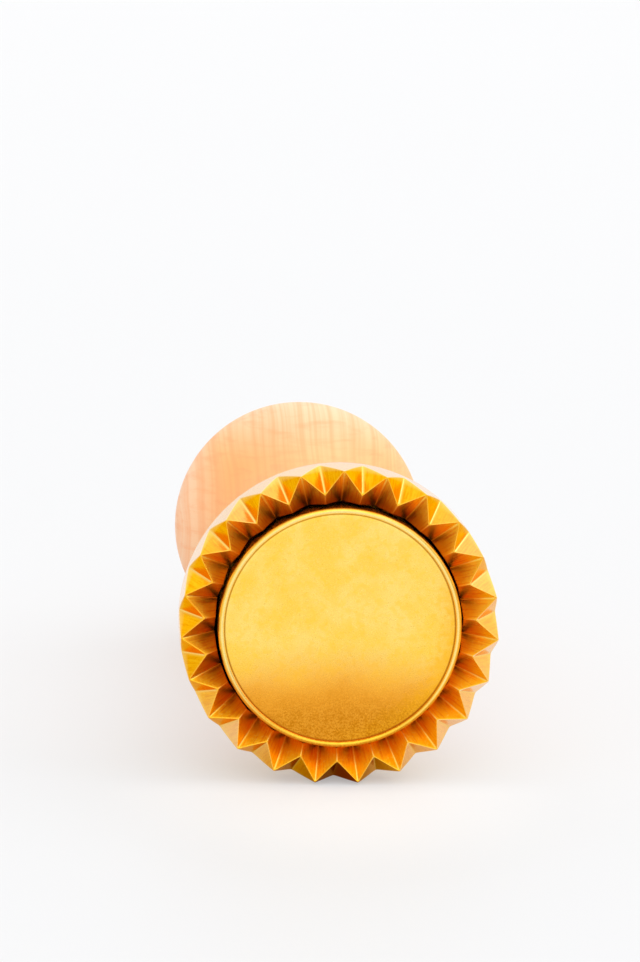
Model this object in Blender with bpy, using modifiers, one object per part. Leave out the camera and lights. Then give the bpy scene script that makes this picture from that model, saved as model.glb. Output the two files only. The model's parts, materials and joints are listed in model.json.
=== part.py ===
"""Round fluted stamp with a spring-loaded ejector plate, lying on its side on a flat surface.

All sizes are set along and around the stamp's own axis. In the frame of the empty "stamp_axis", +Z is that
axis, Z = 0 is the plane of the cutting edge, and Z grows towards the handle; +Y is the side that faces the
floor. The empty then lays the stamp down: its axis runs along world +Y and slopes down towards the knob,
because the stamp rests on the back of the die's rim and on the knob, which is a little smaller.
The pieces that move with the plate hang from a second empty, "ejector_axis", on the same axis.
"""
import math

import bmesh
import bpy
from mathutils import Matrix, Vector
from mathutils.geometry import interpolate_bezier

MM = 0.001
GAP = 0.3 * MM
MERGE = 0.00005
NAME = "fluted_ejector_stamp"

# Die: zigzag edge, rim and cup
TEETH = 23
DIE_RADIUS = 26.0 * MM
EDGE_ROOT_RADIUS = 0.851 * DIE_RADIUS
GROOVE_DEPTH = 0.245 * DIE_RADIUS
CAVITY_RADIUS = 20.25 * MM
FLUTE_DEPTH = 4.35 * MM
EDGE_LAND = 0.16 * MM
RIM_DEPTH = 9.1 * MM
RIM_CHAMFER = 0.3 * MM
TAPER_START = 6.6 * MM
CUP_RADIUS = 22.4 * MM
WEB_FRONT = 13.0 * MM
WEB_BACK = 16.0 * MM
BOSS_RADIUS = 6.3 * MM
BOSS_BACK = 24.0 * MM
BUSH_BORE = 4.3 * MM
DIE_SEGMENTS = 2 * TEETH + 4

# Ejector plate, with its face a little below its lip
PLATE_RADIUS = 19.85 * MM
LIP_FRONT = -0.2 * MM
LIP_WIDTH = 0.6 * MM
FACE_RADIUS = 18.75 * MM
FACE_PLACE = 0.3 * MM
PLATE_THICKNESS = 2.0 * MM
PLATE_BACK = 4.5 * MM
SKIRT_WALL = 1.6 * MM
PLATE_BOSS_RADIUS = 4.5 * MM

# Stem and what is on it
STEM_RADIUS = 2.5 * MM
STEM_FRONT = 1.9 * MM
STEM_BACK = 33.0 * MM
HOLE_RADIUS = STEM_RADIUS + GAP
BUSH_RADIUS = 4.0 * MM
FLANGE_RADIUS = 5.4 * MM
FLANGE_THICKNESS = 0.8 * MM
WASHER_RADIUS = 6.0 * MM
WASHER_SEGMENTS = 28
BUMP_THICKNESS = 1.2 * MM
WASHER_THICKNESS = 1.0 * MM
NUT_ACROSS_FLATS = 8.0 * MM
NUT_HEIGHT = 4.0 * MM

# Return spring
WIRE_RADIUS = 0.5 * MM
COIL_RADIUS = 5.5 * MM
END_TURN_PITCH = 1.2 * MM
ACTIVE_TURNS = 7
POINTS_PER_TURN = 14

# Handle
BORE_RADIUS = 6.6 * MM
BORE_BOTTOM = 51.0 * MM
COLLAR_RADIUS = 17.5 * MM
COLLAR_BACK = 24.5 * MM
NECK_RADIUS = 12.4 * MM
NECK_PLACE = 42.0 * MM
GRIP_RADIUS = 13.4 * MM
GRIP_PLACE = 72.0 * MM
KNOB_RADIUS = 22.49 * MM
KNOB_PLACE = 90.4 * MM
KNOB_EDGE = 9.0 * MM
DOME_LENGTH = 14.2 * MM
HANDLE_SEGMENTS = DIE_SEGMENTS

# Wood screws that hold the die to the handle
SCREWS = 3
SCREW_CIRCLE = 10.5 * MM
SCREW_LENGTH = 12.0 * MM
SCREW_HEAD_RADIUS = 3.0 * MM
SCREW_HEAD_HEIGHT = 1.7 * MM
SCREW_RADIUS = 1.5 * MM

# The stamp rests on one flat of the rim and one of the knob. The back of the rim tapers from TAPER_START
# along the line from there to the knob, so that its flat lies on the floor.
TAPER_RATE = (DIE_RADIUS - KNOB_RADIUS) / (KNOB_PLACE - TAPER_START)
RIM_BACK_RADIUS = DIE_RADIUS - TAPER_RATE * (RIM_DEPTH - RIM_CHAMFER - TAPER_START)
REST_SLOPE = math.atan(TAPER_RATE * math.cos(math.pi / DIE_SEGMENTS))


def clear_scene():
    for old in list(bpy.data.objects):
        bpy.data.objects.remove(old)


def new_collection(name):
    collection = bpy.data.collections.new(name)
    bpy.context.scene.collection.children.link(collection)
    return collection


def plain_material(name, colour, roughness, metallic):
    material = bpy.data.materials.new(name)
    material.use_nodes = True
    shader = material.node_tree.nodes["Principled BSDF"]
    shader.inputs["Base Color"].default_value = (*colour, 1.0)
    shader.inputs["Roughness"].default_value = roughness
    shader.inputs["Metallic"].default_value = metallic
    return material


def link_mesh(name, bm, collection, parent=None, material=None):
    mesh = bpy.data.meshes.new(name)
    bm.to_mesh(mesh)
    bm.free()
    piece = bpy.data.objects.new(name, mesh)
    collection.objects.link(piece)
    piece.parent = parent
    if material:
        mesh.materials.append(material)
    return piece


def arc(centre, radius_z, radius_r, start, end, steps):
    """Points (r, z) on an ellipse arc about centre. Angles in degrees, 0 outwards and 90 towards +Z."""
    points = []
    for i in range(steps + 1):
        angle = math.radians(start + (end - start) * i / steps)
        points.append((centre[0] + radius_r * math.cos(angle), centre[1] + radius_z * math.sin(angle)))
    return points


def sweep(start, start_handle, end_handle, end, steps):
    """Points (r, z) along a Bezier stretch, without its first point."""
    ends = [Vector((r, z, 0.0)) for r, z in (start, start_handle, end_handle, end)]
    return [(p.x, p.y) for p in interpolate_bezier(*ends, steps + 1)[1:]]


def turned(name, outline, segments, collection, parent=None, material=None, closed=True):
    """A turned piece. outline lists (r, z) from the back down the outer side to the front, then inwards."""
    bm = bmesh.new()
    corners = [bm.verts.new((r, 0.0, z)) for r, z in outline]
    for here, there in zip(corners, corners[1:]):
        bm.edges.new((here, there))
    if closed:
        bm.edges.new((corners[-1], corners[0]))
    piece = link_mesh(name, bm, collection, parent, material)
    screw = piece.modifiers.new("turn", "SCREW")
    screw.axis = "Z"
    screw.steps = segments
    screw.render_steps = segments
    screw.use_merge_vertices = True
    screw.merge_threshold = MERGE
    screw.use_smooth_shade = False
    return piece


def ring(name, front, thickness, collection, parent, material):
    """A plain washer around the stem."""
    back = front + thickness
    outline = [(WASHER_RADIUS, back), (WASHER_RADIUS, front), (HOLE_RADIUS, front), (HOLE_RADIUS, back)]
    return turned(name, outline, WASHER_SEGMENTS, collection, parent, material)


def star_frustum(name, start, end, collection, parent):
    """A solid between two zigzag stars, each given as (z, tip radius, root radius). A tip points to -Y."""
    bm = bmesh.new()
    loops = []
    for z, tip, root in (start, end):
        loop = []
        for i in range(2 * TEETH):
            radius = root if i % 2 else tip
            angle = -math.pi / 2 + math.pi * i / TEETH
            loop.append(bm.verts.new((radius * math.cos(angle), radius * math.sin(angle), z)))
        loops.append(loop)
    low, high = loops
    bm.faces.new(list(reversed(low)))
    bm.faces.new(high)
    for i in range(2 * TEETH):
        j = (i + 1) % (2 * TEETH)
        bm.faces.new((low[i], low[j], high[j], high[i]))
    return link_mesh(name, bm, collection, parent)


def zigzag_angles():
    """Angles between a cutting-edge side and the radii through its tip and its root."""
    half_pitch = math.pi / TEETH
    across = EDGE_ROOT_RADIUS * math.sin(half_pitch)
    along = DIE_RADIUS - EDGE_ROOT_RADIUS * math.cos(half_pitch)
    at_tip = math.atan2(across, along)
    return at_tip, at_tip + half_pitch


def boolean(piece, operation, other):
    cut = piece.modifiers.new(operation.lower(), "BOOLEAN")
    cut.operation = operation
    cut.solver = "EXACT"
    cut.object = other


def as_cutter(piece):
    piece.hide_render = True
    piece.display_type = "WIRE"
    return piece


def tooth_form(side, reach, cutters, parent):
    """The star that bounds the teeth: side +1 for the outer V-grooves, -1 for the inner V-flutes.

    Each flank is one plane through a straight side of the edge, with half the land on each side of it.
    """
    at_tip, at_root = zigzag_angles()
    if side > 0:
        root_rate = (DIE_RADIUS - EDGE_ROOT_RADIUS) / GROOVE_DEPTH
        flank_rate = root_rate * math.sin(at_root)
    else:
        tip_rate = (DIE_RADIUS - CAVITY_RADIUS) / FLUTE_DEPTH
        flank_rate = tip_rate * math.sin(at_tip)
    stations = []
    for z in reach:
        offset = side * (EDGE_LAND / 2 + flank_rate * z)
        tip = DIE_RADIUS + offset / math.sin(at_tip)
        root = EDGE_ROOT_RADIUS + offset / math.sin(at_root)
        stations.append((z, tip, root))
    name = "groove_form" if side > 0 else "flute_form"
    return as_cutter(star_frustum(name, stations[0], stations[1], cutters, parent))


def screw_places():
    """Centres of the screws about the axis, the first one towards the floor."""
    for i in range(SCREWS):
        angle = math.pi / 2 + math.tau * i / SCREWS
        yield Vector((SCREW_CIRCLE * math.cos(angle), SCREW_CIRCLE * math.sin(angle), 0.0))


def screw_outline(clearance, front, length):
    """Countersunk head at the front, then the shank."""
    head = SCREW_HEAD_RADIUS + clearance
    shank = SCREW_RADIUS + clearance
    back = front + length
    neck = front + SCREW_HEAD_HEIGHT
    return [(0.0, back), (shank, back - shank), (shank, neck), (head, front), (0.0, front)]


def make_die(collection, cutters, parent, brass):
    outline = [(BOSS_RADIUS, BOSS_BACK), (BOSS_RADIUS, WEB_BACK), (CUP_RADIUS - 0.8 * MM, WEB_BACK)]
    outline += arc((CUP_RADIUS - 0.8 * MM, WEB_BACK - 0.8 * MM), 0.8 * MM, 0.8 * MM, 45, 0, 1)
    cove = 1.6 * MM
    outline += arc((CUP_RADIUS + cove, RIM_DEPTH + cove), cove, cove, 180, 270, 3)
    outline += [(RIM_BACK_RADIUS - RIM_CHAMFER, RIM_DEPTH), (RIM_BACK_RADIUS, RIM_DEPTH - RIM_CHAMFER)]
    outline += [(DIE_RADIUS, TAPER_START), (DIE_RADIUS, 0.0), (CAVITY_RADIUS, 0.0)]
    fillet = 1.0 * MM
    outline += [(CAVITY_RADIUS, WEB_FRONT - fillet), (CAVITY_RADIUS - fillet, WEB_FRONT)]
    outline += [(BUSH_BORE, WEB_FRONT), (BUSH_BORE, BOSS_BACK)]
    die = turned("fluted_die", outline, DIE_SEGMENTS, collection, parent, brass)
    boolean(die, "INTERSECT", tooth_form(1, (-1.0 * MM, BOSS_BACK + 4.0 * MM), cutters, parent))
    boolean(die, "DIFFERENCE", tooth_form(-1, (-1.0 * MM, FLUTE_DEPTH + 1.0 * MM), cutters, parent))
    head = screw_outline(GAP, WEB_FRONT + 0.1 * MM, 8.0 * MM)
    head = head[:-1] + [(SCREW_HEAD_RADIUS + GAP, WEB_FRONT - 1.0 * MM), (0.0, WEB_FRONT - 1.0 * MM)]
    for number, place in enumerate(screw_places(), 1):
        hole = turned(f"web_hole_{number}", head, 24, cutters, parent, closed=False)
        hole.location = place
        boolean(die, "DIFFERENCE", as_cutter(hole))
    return die


def make_plate(collection, parent, brass):
    lip = LIP_WIDTH / 2
    lip_centre = (PLATE_RADIUS - lip, LIP_FRONT + lip)
    inner = PLATE_RADIUS - SKIRT_WALL
    inside = FACE_PLACE + PLATE_THICKNESS
    hole_bottom = STEM_FRONT - GAP
    outline = [(0.0, hole_bottom), (HOLE_RADIUS, hole_bottom), (HOLE_RADIUS, PLATE_BACK)]
    outline += [(PLATE_BOSS_RADIUS, PLATE_BACK), (PLATE_BOSS_RADIUS, inside), (inner, inside)]
    outline += [(inner, PLATE_BACK), (PLATE_RADIUS, PLATE_BACK)]
    outline += arc(lip_centre, lip, lip, 0, -180, 6)
    outline += [(FACE_RADIUS, FACE_PLACE), (0.0, FACE_PLACE)]
    return turned("ejector_plate", outline, 64, collection, parent, brass, closed=False)


def make_stem(collection, parent, steel):
    chamfer = 0.4 * MM
    outline = [(0.0, STEM_BACK), (STEM_RADIUS - chamfer, STEM_BACK), (STEM_RADIUS, STEM_BACK - chamfer)]
    outline += [(STEM_RADIUS, STEM_FRONT + chamfer), (STEM_RADIUS - chamfer, STEM_FRONT), (0.0, STEM_FRONT)]
    return turned("plunger_stem", outline, 20, collection, parent, steel, closed=False)


def make_bush(collection, parent, plastic):
    flange_back = WEB_FRONT - GAP
    flange_front = flange_back - FLANGE_THICKNESS
    outline = [(BUSH_RADIUS, BOSS_BACK), (BUSH_RADIUS, flange_back), (FLANGE_RADIUS, flange_back)]
    outline += [(FLANGE_RADIUS, flange_front), (HOLE_RADIUS, flange_front), (HOLE_RADIUS, BOSS_BACK)]
    return turned("guide_bush", outline, 24, collection, parent, plastic)


def add_prism(bm, sides, radius, front, back):
    middle = Matrix.Translation((0.0, 0.0, (front + back) / 2))
    bmesh.ops.create_cone(bm, cap_ends=True, segments=sides, radius1=radius, radius2=radius,
                          depth=back - front, matrix=middle)


def make_nut(front, collection, parent, steel):
    bm = bmesh.new()
    corner = NUT_ACROSS_FLATS / math.sqrt(3)
    add_prism(bm, 6, corner, front, front + NUT_HEIGHT)
    return link_mesh("lock_nut", bm, collection, parent, steel)


def drill(piece, name, radius, front, back, cutters, parent):
    bm = bmesh.new()
    add_prism(bm, 20, radius, front, back)
    boolean(piece, "DIFFERENCE", as_cutter(link_mesh(name, bm, cutters, parent)))


def spring_height(turn, front, back):
    """Height of the wire's centre after so many turns: a close turn at each end, open turns between."""
    first = front + WIRE_RADIUS
    last = back - WIRE_RADIUS
    pitch = (last - first - 2 * END_TURN_PITCH) / ACTIVE_TURNS
    if turn < 1:
        return first + END_TURN_PITCH * turn
    if turn > 1 + ACTIVE_TURNS:
        return last - END_TURN_PITCH * (2 + ACTIVE_TURNS - turn)
    return first + END_TURN_PITCH + pitch * (turn - 1)


def make_spring(front, back, collection, parent, steel):
    turns = ACTIVE_TURNS + 2
    count = turns * POINTS_PER_TURN + 1
    curve = bpy.data.curves.new("return_spring", "CURVE")
    curve.dimensions = "3D"
    curve.bevel_depth = WIRE_RADIUS
    curve.bevel_resolution = 2
    curve.use_fill_caps = True
    line = curve.splines.new("POLY")
    line.points.add(count - 1)
    for i in range(count):
        turn = i / POINTS_PER_TURN
        x = COIL_RADIUS * math.cos(math.tau * turn)
        y = COIL_RADIUS * math.sin(math.tau * turn)
        line.points[i].co = (x, y, spring_height(turn, front, back), 1.0)
    spring = bpy.data.objects.new("return_spring", curve)
    collection.objects.link(spring)
    spring.parent = parent
    curve.materials.append(steel)
    return spring


def handle_outline():
    """The handle's outer side, from the end of the dome to the collar's front face."""
    dome = arc((0.0, KNOB_PLACE), DOME_LENGTH, KNOB_RADIUS, 90, 0, 9)
    edge_centre = (KNOB_RADIUS - KNOB_EDGE, KNOB_PLACE)
    edge = arc(edge_centre, KNOB_EDGE, KNOB_EDGE, 0, -48, 4)[1:]
    r, z = edge[-1]
    grip_end = (GRIP_RADIUS, GRIP_PLACE)
    neck = (NECK_RADIUS, NECK_PLACE)
    round_over = 1.0 * MM
    corner = COLLAR_RADIUS - round_over
    front = WEB_BACK + GAP
    flare = sweep((r, z), (r - 3.0 * MM, z - 2.7 * MM),
                  (GRIP_RADIUS + 0.3 * MM, GRIP_PLACE + 6.0 * MM), grip_end, 5)
    grip = sweep(grip_end, (GRIP_RADIUS - 0.3 * MM, GRIP_PLACE - 9.0 * MM),
                 (NECK_RADIUS, NECK_PLACE + 10.0 * MM), neck, 4)
    throat = sweep(neck, (NECK_RADIUS, NECK_PLACE - 9.0 * MM),
                   (COLLAR_RADIUS - 3.5 * MM, COLLAR_BACK + 3.0 * MM), (corner, COLLAR_BACK), 5)
    collar = arc((corner, COLLAR_BACK - round_over), round_over, round_over, 90, 0, 2)[1:]
    lower = arc((corner, front + round_over), round_over, round_over, 0, -90, 2)
    return dome + edge + flare + grip + throat + collar + lower


def make_handle(collection, cutters, parent, wood):
    front = WEB_BACK + GAP
    outline = handle_outline() + [(BORE_RADIUS, front), (BORE_RADIUS, BORE_BOTTOM), (0.0, BORE_BOTTOM)]
    handle = turned("handle", outline, HANDLE_SEGMENTS, collection, parent, wood, closed=False)
    pilot = SCREW_RADIUS + GAP
    depth = WEB_FRONT + SCREW_LENGTH + GAP
    hole_outline = [(0.0, depth), (pilot, depth), (pilot, front - 1.0 * MM), (0.0, front - 1.0 * MM)]
    for number, place in enumerate(screw_places(), 1):
        hole = turned(f"pilot_hole_{number}", hole_outline, 12, cutters, parent, closed=False)
        hole.location = place
        boolean(handle, "DIFFERENCE", as_cutter(hole))
    return handle


def make_screws(collection, parent, steel):
    outline = screw_outline(0.0, WEB_FRONT + 0.2 * MM, SCREW_LENGTH - 0.2 * MM)
    for number, place in enumerate(screw_places(), 1):
        screw = turned(f"die_screw_{number}", outline, 16, collection, parent, steel, closed=False)
        screw.location = place


def empty(name, collection, parent=None):
    frame = bpy.data.objects.new(name, None)
    collection.objects.link(frame)
    frame.parent = parent
    return frame


def lay_down(axis, pieces):
    """Slopes the axis down to the knob, and sets the stamp on the floor with its middle over the origin."""
    axis.rotation_euler = (-(math.pi / 2 + REST_SLOPE), 0.0, 0.0)
    bpy.context.view_layer.update()
    graph = bpy.context.evaluated_depsgraph_get()
    low = Vector((math.inf,) * 3)
    high = Vector((-math.inf,) * 3)
    for piece in pieces:
        solid = piece.evaluated_get(graph)
        mesh = solid.to_mesh()
        for vertex in mesh.vertices:
            place = solid.matrix_world @ vertex.co
            low = Vector(map(min, low, place))
            high = Vector(map(max, high, place))
        solid.to_mesh_clear()
    axis.location = (0.0, -(low.y + high.y) / 2, -low.z)
    bpy.context.view_layer.update()


def build():
    clear_scene()
    stamp = new_collection(NAME)
    cutters = new_collection(NAME + "_cutters")
    brass = plain_material("brass", (0.86, 0.55, 0.16), 0.28, 1.0)
    steel = plain_material("steel", (0.62, 0.62, 0.63), 0.35, 1.0)
    wood = plain_material("beech", (0.85, 0.66, 0.46), 0.55, 0.0)
    plastic = plain_material("acetal", (0.85, 0.84, 0.80), 0.45, 0.0)
    rubber = plain_material("rubber", (0.08, 0.08, 0.08), 0.7, 0.0)

    axis = empty("stamp_axis", stamp)
    ejector = empty("ejector_axis", stamp, axis)
    bump_front = BOSS_BACK + GAP
    washer_front = bump_front + BUMP_THICKNESS + GAP
    nut_front = washer_front + WASHER_THICKNESS + GAP
    seat_front = BORE_BOTTOM - GAP - WASHER_THICKNESS

    die = make_die(stamp, cutters, axis, brass)
    plate = make_plate(stamp, ejector, brass)
    make_bush(stamp, axis, plastic)
    make_stem(stamp, ejector, steel)
    ring("bump_washer", bump_front, BUMP_THICKNESS, stamp, ejector, rubber)
    ring("retaining_washer", washer_front, WASHER_THICKNESS, stamp, ejector, steel)
    nut = make_nut(nut_front, stamp, ejector, steel)
    drill(nut, "nut_hole", HOLE_RADIUS, nut_front - MM, nut_front + NUT_HEIGHT + MM, cutters, ejector)
    make_spring(nut_front, seat_front - GAP, stamp, axis, steel)
    ring("spring_seat", seat_front, WASHER_THICKNESS, stamp, axis, steel)
    make_screws(stamp, axis, steel)
    handle = make_handle(stamp, cutters, axis, wood)
    lay_down(axis, (die, plate, handle))


build()
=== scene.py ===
"""Looks of the round fluted stamp: brass die with a zigzag edge, brass ejector plate, turned beech handle.

Shapes are worked out in the stamp's own frame, in millimetres: Z runs along the stamp's axis from the plane
of the cutting edge towards the knob, -Y is the side that faces up, and X is the world's X. place() then lays
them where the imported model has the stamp.
"""
import json
import math

import bmesh
import bpy
from mathutils import Matrix, Vector


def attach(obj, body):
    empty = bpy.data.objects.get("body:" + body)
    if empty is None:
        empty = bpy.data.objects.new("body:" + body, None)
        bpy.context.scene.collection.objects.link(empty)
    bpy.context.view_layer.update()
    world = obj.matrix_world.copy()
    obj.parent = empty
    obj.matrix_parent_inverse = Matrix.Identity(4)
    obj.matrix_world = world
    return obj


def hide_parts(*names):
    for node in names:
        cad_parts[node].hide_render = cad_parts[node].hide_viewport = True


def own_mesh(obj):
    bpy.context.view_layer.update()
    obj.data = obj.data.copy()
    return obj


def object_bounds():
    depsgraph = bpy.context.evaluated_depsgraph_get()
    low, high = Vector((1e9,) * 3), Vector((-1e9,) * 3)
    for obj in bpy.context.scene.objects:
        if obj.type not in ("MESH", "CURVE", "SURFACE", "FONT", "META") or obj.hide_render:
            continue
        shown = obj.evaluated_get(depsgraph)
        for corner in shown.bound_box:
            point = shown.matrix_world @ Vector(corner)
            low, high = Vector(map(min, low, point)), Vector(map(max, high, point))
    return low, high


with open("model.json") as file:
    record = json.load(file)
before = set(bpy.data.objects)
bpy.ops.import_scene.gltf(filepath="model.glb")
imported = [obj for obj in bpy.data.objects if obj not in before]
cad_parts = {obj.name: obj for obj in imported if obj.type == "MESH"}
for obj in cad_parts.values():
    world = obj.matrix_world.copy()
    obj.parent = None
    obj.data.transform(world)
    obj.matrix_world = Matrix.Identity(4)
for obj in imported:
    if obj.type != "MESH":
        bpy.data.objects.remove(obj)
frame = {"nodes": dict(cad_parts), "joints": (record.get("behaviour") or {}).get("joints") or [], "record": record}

CAD_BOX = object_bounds()
MM = 0.001

# Cutting edge and teeth
TEETH = 23
DIE_RADIUS = 26.0
EDGE_ROOT_RADIUS = 0.851 * DIE_RADIUS
GROOVE_DEPTH = 0.245 * DIE_RADIUS
FLUTE_DEPTH = 4.35
EDGE_LAND = 0.1
GROOVE_ROUND = 0.2
FLUTE_ROUND = 0.15
RIDGE_ROUND = 0.05
TIP_CHAMFER = 0.06
GROOVE_END_CUT = 0.12
EDGE_CUT = 0.05
FLUTE_END_CUT = 0.15

# Rim, cup and cavity of the die
RIM_DEPTH = 9.1
RIM_CHAMFER = 0.3
RIM_CUT = 0.12
TAPER_START = 6.6
CUP_RADIUS = 22.4
CUP_ROUND = 0.8
COVE = 1.6
WEB_FRONT = 13.0
WEB_BACK = 16.0
WEB_RINGS = (18.6, 12.0, 7.0)
CAVITY_RADIUS = 20.25
CAVITY_FILLET = 1.0
BOSS_RADIUS = 6.3
BOSS_BACK = 24.0
BOSS_CHAMFER = 0.4
BOSS_FILLET = 0.3
BUSH_BORE = 4.3
BUSH_BORE_CHAMFERS = (0.2, 0.3)

# Ejector plate. The groove at the lip's foot has two points, each with its radius and its depth.
PLATE_RADIUS = 19.85
LIP_FRONT = -0.2
LIP_INNER_RADIUS = 18.85
LIP_CREST_RADIUS = 19.25
FACE_PLACE = 0.3
FACE_RINGS = (3.0, 7.0, 11.0, 15.0, 18.0, 18.6)
LIP_GROOVE = ((18.74, 0.05), (18.83, 0.04))
PLATE_THICKNESS = 2.0
PLATE_BACK = 4.5
SKIRT_START = 1.0
SKIRT_WALL = 1.6
PLATE_BOSS_RADIUS = 4.5
STEM_HOLE_RADIUS = 2.8
STEM_HOLE_BOTTOM = 1.6
PLATE_SEGMENTS = 160

# Handle
COLLAR_RADIUS = 17.5
COLLAR_BACK = 24.5
COLLAR_ROUND = 1.0
NECK_RADIUS = 12.4
NECK_PLACE = 42.0
GRIP_RADIUS = 13.4
GRIP_PLACE = 72.0
KNOB_RADIUS = 22.435
KNOB_PLACE = 90.4
KNOB_EDGE = 9.0
KNOB_EDGE_ARC = 48
DOME_LENGTH = 14.15
BORE_RADIUS = 6.6
BORE_CHAMFER = 0.4
BORE_BOTTOM = 51.0
HANDLE_FRONT = 16.3
HANDLE_SEGMENTS = 144

# Screws between die and handle
SCREWS = 3
SCREW_CIRCLE = 10.5
HEAD_HOLE_RADIUS = 3.3
SHANK_HOLE_RADIUS = 1.8
HEAD_HOLE_DEPTH = 1.8
PILOT_DEPTH = 25.3
HEAD_HOLE_RIM = 0.1
HOLE_SIDES = 32
OVERSHOOT = 0.5

# Return spring. The visible wire is a little thinner than the CAD wire, so that it stays inside it.
WIRE_RADIUS = 0.5
WIRE_SHARE = 0.98
WIRE_SIDES = 12
COIL_RADIUS = 5.5
COIL_STEPS = 40
END_PITCH = 1.2
ACTIVE_TURNS = 7

# How dirty the flutes are, on the scale where 1 is the black of the cavity's wall, which is tarnish and painted
# shade
FLUTE_TARNISH = 0.06

# Metal rubbed bright with painted highlights on the cutting edge and where a groove runs out, and painted
# highlights in the creases (strength and width)
EDGE_WEAR_AND_HIGHLIGHT = 0.1
GROOVE_END_WEAR_AND_HIGHLIGHT = 0.5
GROOVE_HIGHLIGHT = (0.75, 0.16)
RIDGE_HIGHLIGHT = (0.5, 0.1)
FLUTE_HIGHLIGHT = (0.4, 0.14)

# Where the sides of the teeth get a pale painted highlight or painted shade, and where the flutes get painted
# shade.
# Each field has its side (1 after a tip, -1 before one), its middle and its width around the axis in degrees, and
# its strength.
HIGHLIGHT_SIDES = (
    (-1, 140.0, 42.0, 0.45),
    (-1, 65.0, 22.0, 0.18),
    (1, 110.0, 34.0, 0.85),
    (1, 222.0, 16.0, 0.35),
    (1, 322.0, 18.0, 0.2),
)
SHADED_SIDES = ((-1, 186.0, 19.0, 0.95), (1, 176.0, 17.0, 0.95))
SHADED_FLUTES = ((1, 262.0, 42.0, 0.5),)

# White tent round the stamp: azimuth (0 in front, 90 on the right) and elevation of a field's centre, the
# radii where it is full and where it ends, all in degrees, and what it adds to the even glow
TENT_GLOW = 0.92
TENT_FIELDS = (
    (172.0, 12.0, 10.0, 30.0, 0.06),
    (180.0, 55.0, 25.0, 50.0, 0.3),
    (120.0, 18.0, 15.0, 45.0, 0.2),
    (-5.0, 5.0, 14.0, 38.0, 0.35),
    (0.0, 58.0, 18.0, 45.0, 0.35),
    (40.0, 8.0, 10.0, 26.0, -0.4),
)

# Soft lamps: name, azimuth, elevation and spread in degrees, and power
LAMPS = (("key", 92.0, 38.0, 56.0, 0.6), ("fill", 12.0, 42.0, 50.0, 0.3))

# The floor is a sheet of white acrylic that glows evenly, with a painted pool of light, a brighter glowing oval,
# just in front of the stamp. Lengths are in metres, and the edge of the oval towards the stamp is in shares of its
# reach.
FLOOR_SIZE = 6.0
FLOOR_GLOW = 0.33
FRONT_GLOW = 0.16
FRONT_GLOW_GAP = 0.0007
FRONT_GLOW_REACH = (0.042, 0.052)
FRONT_GLOW_EDGE = (0.12, -0.1)

# Camera, in metres, degrees and millimetres
CAMERA_PLACE = (-0.0645208, -0.7566360, 0.2079149)
CAMERA_TURN = (77.464791, -1.566420, -4.558809)
LENS = 168.4
SENSOR = 36.0
CLIP = (0.05, 50.0)


# ---- Where the stamp lies ---------------------------------------------------------------------------

def stamp_matrix():
    """From the stamp's frame to the world, both in metres."""
    axis = Vector(frame["joints"][0]["axis"]).normalized()
    face = Vector(frame["record"]["mounts"][0]["pos_m"])
    across = Vector((1.0, 0.0, 0.0))
    down = axis.cross(across)
    turn = Matrix((across, down, axis)).transposed().to_4x4()
    return Matrix.Translation(face - axis * FACE_PLACE * MM) @ turn


STAMP = stamp_matrix()


def place(bm):
    """Moves a shape from the stamp's frame in millimetres to the world in metres."""
    bm.transform(STAMP @ Matrix.Scale(MM, 4))


def make_object(name, bm, material):
    mesh = bpy.data.meshes.new(name)
    bm.to_mesh(mesh)
    bm.free()
    mesh.materials.append(material)
    piece = bpy.data.objects.new(name, mesh)
    bpy.context.scene.collection.objects.link(piece)
    return piece


# ---- Profiles ---------------------------------------------------------------------------------------

MOST_CUT_SHARE = 0.45


def arc(centre, radius_r, radius_z, start, end, steps):
    """Points (r, z) on an ellipse arc. Angles in degrees, 0 outwards and 90 towards the knob."""
    points = []
    for i in range(steps + 1):
        angle = math.radians(start + (end - start) * i / steps)
        points.append((centre[0] + radius_r * math.cos(angle), centre[1] + radius_z * math.sin(angle)))
    return points


def bezier(start, start_handle, end_handle, end, steps):
    """Points (r, z) along a cubic curve, without its first point."""
    points = []
    corners = (start, start_handle, end_handle, end)
    for i in range(1, steps + 1):
        t = i / steps
        weights = ((1 - t) ** 3, 3 * t * (1 - t) ** 2, 3 * t * t * (1 - t), t ** 3)
        points.append(tuple(sum(w * c[k] for w, c in zip(weights, corners)) for k in (0, 1)))
    return points


def rounded(corners, steps=4):
    """The polyline through corners (r, z, cut). A parabola rounds each corner that has a cut."""
    path = []
    for i, (r, z, cut) in enumerate(corners):
        here = Vector((r, z))
        if not cut:
            path.append((r, z))
            continue
        before = Vector(corners[i - 1][:2]) - here
        after = Vector(corners[i + 1][:2]) - here
        start = here + before * min(MOST_CUT_SHARE, cut / before.length)
        end = here + after * min(MOST_CUT_SHARE, cut / after.length)
        for k in range(steps + 1):
            t = k / steps
            point = start * (1 - t) ** 2 + here * 2 * t * (1 - t) + end * t * t
            path.append((point.x, point.y))
    return path


def between(first, last, shares):
    """Points at these shares of the way from first to last."""
    return [tuple(a + (b - a) * share for a, b in zip(first, last)) for share in shares]


# ---- Meshes from profiles ---------------------------------------------------------------------------

def ring_of(bm, angles, radii, places):
    """A loop of vertices around the axis, each with its angle, its radius and its place along the axis."""
    loop = []
    for angle, radius, z in zip(angles, radii, places):
        loop.append(bm.verts.new((radius * math.sin(angle), -radius * math.cos(angle), z)))
    return loop


def circle_of(bm, angles, radius, z):
    """A round, flat loop of vertices around the axis."""
    return ring_of(bm, angles, [radius] * len(angles), [z] * len(angles))


def even_angles(count):
    return [math.tau * i / count for i in range(count)]


def bridge(bm, low, high):
    """Faces between two loops with the same number of vertices."""
    count = len(low)
    for i in range(count):
        j = (i + 1) % count
        bm.faces.new((low[i], low[j], high[j], high[i]))


def bridge_all(bm, loops):
    """Faces from each loop to the next."""
    for low, high in zip(loops, loops[1:]):
        bridge(bm, low, high)


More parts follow.
